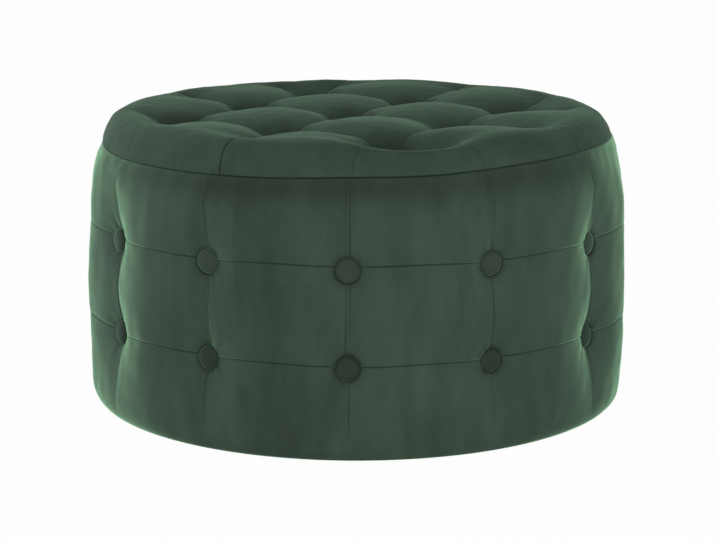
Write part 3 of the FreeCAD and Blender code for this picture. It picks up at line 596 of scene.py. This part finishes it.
def dust_cloth():
    """The thin black cloth under the board: it sags a little between its staples and the glides."""
    count = 141
    x, y, out = disc_grid(count)
    lowest, highest = (1000 * np.array(corner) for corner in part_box("dust_cover"))
    outer = (highest[0] - lowest[0]) / 2
    x, y = x * outer, y * outer
    free = smooth((1 - out) * outer / 70)
    for number in range(1, GLIDES + 1):
        corners = [1000 * np.array(corner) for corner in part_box("glide_foot_%d" % number)]
        middle = (corners[0] + corners[1]) / 2
        free = free * smooth((np.hypot(x - middle[0], y - middle[1]) - 16) / 55)
    sag = 1.3 * free + 0.3 * free * ripple((x, y), 60, 21) + 0.12 * smooth(5 * free) * ripple((x, y), 22, 22)
    upper = np.stack([x, y, highest[2] - sag], -1)
    lower = np.stack([x, y, lowest[2] - sag], -1)
    verts, faces, _ = closed_pillow(upper, lower, count)
    item = piece("stapled_dust_cloth", verts, faces, ["dust_cover"])
    return item


def join(tree, socket, value):
    """Links a socket to another, or sets it to a number or colour."""
    if isinstance(value, bpy.types.NodeSocket):
        tree.links.new(value, socket)
    else:
        socket.default_value = value


def material(name, **settings):
    made = bpy.data.materials.new(name)
    made.use_nodes = True
    tree = made.node_tree
    tree.nodes.clear()
    output = tree.nodes.new("ShaderNodeOutputMaterial")
    shader = tree.nodes.new("ShaderNodeBsdfPrincipled")
    tree.links.new(shader.outputs[0], output.inputs[0])
    for word, value in settings.items():
        shader.inputs[word.replace("_", " ")].default_value = value
    return made, tree, shader


def node(tree, kind, settings=(), **inputs):
    made = tree.nodes.new("ShaderNode" + kind)
    for word, value in dict(settings).items():
        setattr(made, word, value)
    for word, value in inputs.items():
        join(tree, made.inputs[word.replace("_", " ")], value)
    return made


def reckoned(tree, operation, *values):
    """The result of one Math node."""
    made = node(tree, "Math", {"operation": operation})
    for socket, value in zip(made.inputs, values):
        join(tree, socket, value)
    return made.outputs[0]


def places_in(tree, scale=(1, 1, 1)):
    """Object coordinates, stretched along each axis."""
    at = node(tree, "TexCoord")
    return node(tree, "Mapping", Vector=at.outputs["Object"], Scale=scale).outputs[0]


def noise(tree, where, scale, detail=3.0, roughness=0.5):
    made = node(tree, "TexNoise", Vector=where, Scale=scale, Detail=detail, Roughness=roughness)
    return made.outputs["Fac"]


def bands(tree, direction, where, **inputs):
    return node(tree, "TexWave", {"bands_direction": direction}, Vector=where, **inputs).outputs["Fac"]


def ramp(tree, factor, stops):
    made = node(tree, "ValToRGB", Fac=factor)
    line = made.color_ramp.elements
    while len(line) < len(stops):
        line.new(0.5)
    for stop, (at, color) in zip(line, stops):
        stop.position = at
        stop.color = (*color, 1)
    return made.outputs[0]


def bump(tree, shader, height, strength, distance):
    made = node(tree, "Bump", Strength=strength, Distance=distance, Height=height)
    tree.links.new(made.outputs[0], shader.inputs["Normal"])


def mixed(tree, kind, factor, a, b):
    made = tree.nodes.new("ShaderNodeMix")
    made.data_type = "RGBA"
    made.blend_type = kind
    for index, value in ((0, factor), (6, a), (7, b)):
        join(tree, made.inputs[index], value)
    return made.outputs[2]


def velvet(name, stretch, sheen, colors, crease_shaded=True):
    """Short-pile velvet: nap that lies in soft patches and streaks, fine pile, a soft sheen, and where asked
    painted shade in its creases and under the seam.
    """
    made, tree, shader = material(name, Specular_IOR_Level=0.12, Sheen_Weight=sheen, Sheen_Roughness=0.33,
                                  Sheen_Tint=(0.50, 0.94, 0.57, 1))
    patches = noise(tree, places_in(tree, stretch), 7.0, 4.0, 0.55)
    streaks = noise(tree, places_in(tree, tuple(3.2 * s for s in stretch)), 11.0, 5.0, 0.6)
    blend = reckoned(tree, "MULTIPLY_ADD", streaks, 0.45, reckoned(tree, "MULTIPLY", patches, 0.55))
    color = ramp(tree, blend, list(zip((0.3, 0.5, 0.7), colors)))
    fibre = noise(tree, places_in(tree), 900.0, 2.0, 0.6)
    fibre = ramp(tree, fibre, [(0.3, (0.62, 0.62, 0.62)), (0.7, (1.0, 1.0, 1.0))])
    color = mixed(tree, "MULTIPLY", 0.35, color, fibre)
    # painted shade: much darker in the creases, and darker in the band under the seam
    if crease_shaded:
        for word, darkest in (("crease_shade", 0.22), ("seam_shade", 0.6)):
            layer = node(tree, "Attribute", {"attribute_name": word}).outputs["Fac"]
            shade = ramp(tree, layer, [(0.0, (1, 1, 1)), (1.0, (darkest,) * 3)])
            color = mixed(tree, "MULTIPLY", 1.0, color, shade)
    tree.links.new(color, shader.inputs["Base Color"])
    rough = node(tree, "MapRange", Value=patches, To_Min=0.82, To_Max=0.97)
    tree.links.new(rough.outputs[0], shader.inputs["Roughness"])
    pile = noise(tree, places_in(tree), 1400.0, 3.0, 0.7)
    ruffle = noise(tree, places_in(tree, stretch), 60.0, 4.0, 0.6)
    bump(tree, shader, mixed(tree, "MIX", 0.35, pile, ruffle), 0.35, 0.0008)
    return made


def wooden(name, dark, light, grain, plies=0):
    """Sawn wood with its grain, and plies along the edge where it has them."""
    made, tree, shader = material(name, Roughness=0.72)
    rings = bands(tree, "Y", places_in(tree, grain), Scale=6.0, Distortion=5.0, Detail=4.0, Detail_Scale=1.6)
    color = ramp(tree, rings, [(0.15, dark), (0.85, light)])
    pores = noise(tree, places_in(tree, tuple(6 * s for s in grain)), 60.0, 5.0, 0.7)
    specks = ramp(tree, pores, [(0.35, (0.55, 0.5, 0.45)), (0.6, (1, 1, 1))])
    color = mixed(tree, "MULTIPLY", 0.4, color, specks)
    if plies:
        edges = bands(tree, "Z", places_in(tree), Scale=plies)
        edges = ramp(tree, edges, [(0.3, (0.55, 0.42, 0.3)), (0.5, (1, 1, 1))])
        color = mixed(tree, "MULTIPLY", 0.5, color, edges)
    tree.links.new(color, shader.inputs["Base Color"])
    bump(tree, shader, pores, 0.3, 0.0005)
    return made


def foam_skin():
    """Cut foam with its open cells."""
    made, tree, shader = material("cut_foam", Roughness=0.95)
    cells = node(tree, "TexVoronoi", Vector=places_in(tree), Scale=700.0).outputs["Distance"]
    color = ramp(tree, cells, [(0.1, (0.62, 0.54, 0.34)), (0.7, (0.83, 0.77, 0.58))])
    tree.links.new(color, shader.inputs["Base Color"])
    bump(tree, shader, cells, 0.5, 0.0006)
    return made


def woven(name, dark, light, scale):
    """Plain threads that cross."""
    made, tree, shader = material(name, Roughness=0.9)
    where = places_in(tree)
    warp, weft = (bands(tree, way, where, Scale=scale, Distortion=0.6) for way in ("X", "Y"))
    cross = reckoned(tree, "MULTIPLY", warp, weft)
    tree.links.new(ramp(tree, cross, [(0.1, dark), (0.8, light)]), shader.inputs["Base Color"])
    bump(tree, shader, cross, 0.4, 0.0004)
    return made


def moulded(name, dark, light, rough):
    """Nylon or plastic with a fine moulded grain and scuffs."""
    made, tree, shader = material(name, Roughness=rough)
    scuffs = noise(tree, places_in(tree), 130.0, 5.0, 0.65)
    tree.links.new(ramp(tree, scuffs, [(0.35, dark), (0.7, light)]), shader.inputs["Base Color"])
    bump(tree, shader, noise(tree, places_in(tree), 1100.0, 2.0), 0.15, 0.0003)
    return made


def zinc():
    """Steel with the faint spangle of its zinc."""
    made, tree, shader = material("zinc_plated_steel", Metallic=1.0, Roughness=0.38)
    spangle = noise(tree, places_in(tree, (1, 1, 4)), 220.0, 4.0, 0.6)
    color = ramp(tree, spangle, [(0.3, (0.42, 0.42, 0.4)), (0.7, (0.66, 0.66, 0.63))])
    tree.links.new(color, shader.inputs["Base Color"])
    bump(tree, shader, spangle, 0.1, 0.0002)
    return made


def look_from(item, place, target):
    item.location = place
    item.rotation_euler = (Vector(target) - Vector(place)).to_track_quat("-Z", "Y").to_euler()


def area_light(name, place, target, width, height, power):
    data = bpy.data.lights.new(name, "AREA")
    data.shape = "RECTANGLE"
    data.size = width
    data.size_y = height
    data.energy = power
    item = bpy.data.objects.new(name, data)
    bpy.context.scene.collection.objects.link(item)
    look_from(item, place, target)


def camera():
    """The photograph's angle."""
    # how far it looks down and stands to the right
    tilt, swing = math.radians(12.236), math.radians(1.88)
    # how far away it is, and the height that it looks at
    distance, aim = 2.5756, 0.1543
    data = bpy.data.cameras.new("camera")
    data.sensor_width = 36
    data.lens = 104.1
    data.shift_x = 0.0014
    item = bpy.data.objects.new("camera", data)
    bpy.context.scene.collection.objects.link(item)
    flat = distance * math.cos(tilt)
    place = (flat * math.sin(swing), -flat * math.cos(swing), aim + distance * math.sin(tilt))
    look_from(item, place, (0, 0, aim))
    bpy.context.scene.camera = item


def seen_directly(tree):
    """1 where the camera sees the surface itself, a reflection of it, or it through glass."""
    path = node(tree, "LightPath").outputs
    either = reckoned(tree, "MAXIMUM", path["Is Camera Ray"], path["Is Glossy Ray"])
    return reckoned(tree, "MAXIMUM", either, path["Is Transmission Ray"])


def mix_shaders(tree, factor, plain, white, output):
    mix = tree.nodes.new("ShaderNodeMixShader")
    for socket, value in zip(mix.inputs, (factor, plain.outputs[0], white.outputs[0])):
        tree.links.new(value, socket)
    tree.links.new(mix.outputs[0], output.inputs[0])


def white_world():
    """White where it is seen, and a plain soft light on the object."""
    world = bpy.data.worlds.new("studio")
    bpy.context.scene.world = world
    world.use_nodes = True
    tree = world.node_tree
    tree.nodes.clear()
    output = tree.nodes.new("ShaderNodeOutputWorld")
    soft = node(tree, "Background", Color=(1, 1, 1, 1), Strength=ROOM_LIGHT)
    white = node(tree, "Background", Color=(1, 1, 1, 1), Strength=1.0)
    mix_shaders(tree, seen_directly(tree), soft, white, output)


def pale_floor():
    """A floor that is nearly white where it is seen, and keeps the object's shadow."""
    mesh = bpy.data.meshes.new("floor")
    corners = [(x * FLOOR_REACH, y * FLOOR_REACH, 0) for x, y in ((-1, -1), (1, -1), (1, 1), (-1, 1))]
    mesh.from_pydata(corners, [], [(0, 1, 2, 3)])
    floor = bpy.data.objects.new("floor", mesh)
    bpy.context.scene.collection.objects.link(floor)
    made, tree, shader = material("pale_floor", Roughness=0.9)
    speckle = noise(tree, places_in(tree), 3.0, 4.0)
    color = ramp(tree, speckle, [(0.3, (0.62, 0.62, 0.62)), (0.7, (0.66, 0.66, 0.66))])
    tree.links.new(color, shader.inputs["Base Color"])
    glow = node(tree, "Emission", Color=(1, 1, 1, 1), Strength=1.0)
    veil = reckoned(tree, "MULTIPLY", seen_directly(tree), FLOOR_WHITE)
    mix_shaders(tree, veil, shader, glow, tree.nodes["Material Output"])
    mesh.materials.append(made)


def stage():
    bpy.context.scene.view_settings.view_transform = "Standard"
    camera()
    white_world()
    pale_floor()
    area_light("left_softbox", (-2.3, 0.5, 0.95), (-0.25, -0.05, 0.25), 1.3, 1.5, 35)
    area_light("right_softbox", (2.3, 0.1, 0.85), (0.25, -0.05, 0.2), 1.3, 1.5, 11)
    area_light("top_softbox", (-0.3, 0.3, 2.4), (0, 0, 0.3), 1.8, 1.4, 5)
    area_light("front_fill", (0.3, -3.0, 0.7), (0, 0, 0.2), 2.0, 1.2, 53)


def soft_pieces():
    """The covers, buttons, foam and dust cloth, each with its material."""
    side_velvet = velvet("green_velvet_side", (1.0, 1.0, 0.32), 1.0,
                         ((0.027, 0.043, 0.032), (0.043, 0.068, 0.051), (0.062, 0.095, 0.071)))
    # painted shade: the top's velvet is a darker copy of the side's
    top_velvet = velvet("green_velvet_top_shaded", (1.0, 0.6, 1.0), 0.12,
                        ((0.0268, 0.0445, 0.033), (0.0384, 0.0626, 0.047), (0.050, 0.081, 0.060)))
    # painted shade: the lower row's buttons are a darker copy of the button velvet
    low_button = velvet("green_velvet_low_button_shaded", (1.0, 1.0, 1.0), 0.3,
                        ((0.018, 0.028, 0.021), (0.026, 0.040, 0.031), (0.036, 0.054, 0.042)), False)
    button = velvet("green_velvet_button", (1.0, 1.0, 1.0), 0.4,
                    ((0.025, 0.039, 0.029), (0.034, 0.052, 0.040), (0.044, 0.066, 0.051)), False)
    foam = foam_skin()
    dust = woven("dust_cloth", (0.012, 0.012, 0.013), (0.045, 0.045, 0.047), 620.0)
    pieces = (
        (side_cover(), side_velvet),
        (top_cover(), top_velvet),
        (side_buttons("velvet_buttons_lower", ROWS[0], "side_buttons_lower"), low_button),
        (side_buttons("velvet_buttons_upper", ROWS[1], "side_buttons_upper"), button),
        (top_buttons(), button),
        (side_foam(), foam),
        (top_foam(), foam),
        (dust_cloth(), dust),
    )
    for item, look in pieces:
        item.data.materials.append(look)


def kept_solids():
    """Materials for the solids of the frame that show as they are."""
    plywood = wooden("birch_plywood", (0.50, 0.34, 0.19), (0.66, 0.49, 0.30), (4, 0.5, 4), 130)
    pine = wooden("sawn_pine", (0.52, 0.34, 0.17), (0.71, 0.53, 0.31), (14, 14, 0.8))
    hardboard = wooden("bent_hardboard", (0.24, 0.14, 0.08), (0.34, 0.21, 0.12), (3, 3, 3))
    twine = woven("waxed_twine", (0.42, 0.38, 0.3), (0.74, 0.69, 0.58), 900.0)
    toggle = moulded("toggle_plastic", (0.05, 0.05, 0.05), (0.09, 0.09, 0.09), 0.5)
    nylon = moulded("glide_nylon", (0.03, 0.03, 0.03), (0.07, 0.07, 0.07), 0.42)
    looks = (
        (plywood, ["base_board", "top_board"]),
        (hardboard, ["wall_panel_front", "wall_panel_back"]),
        (pine, ["upright_%d" % number for number in range(1, POSTS + 1)]),
        (nylon, ["glide_foot_%d" % number for number in range(1, GLIDES + 1)]),
        (twine, ["side_twines_lower", "side_twines_upper", "top_twines"]),
        (toggle, ["side_toggles_lower", "side_toggles_upper", "top_toggles"]),
        (zinc(), ["base_board_screws", "top_board_screws", "glide_screws",
                  "hem_staples", "dust_cover_staples", "wall_panel_staples"]),
    )
    for look, names in looks:
        for name in names:
            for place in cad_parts[name].material_slots:
                place.material = look


stage()
soft_pieces()
kept_solids()
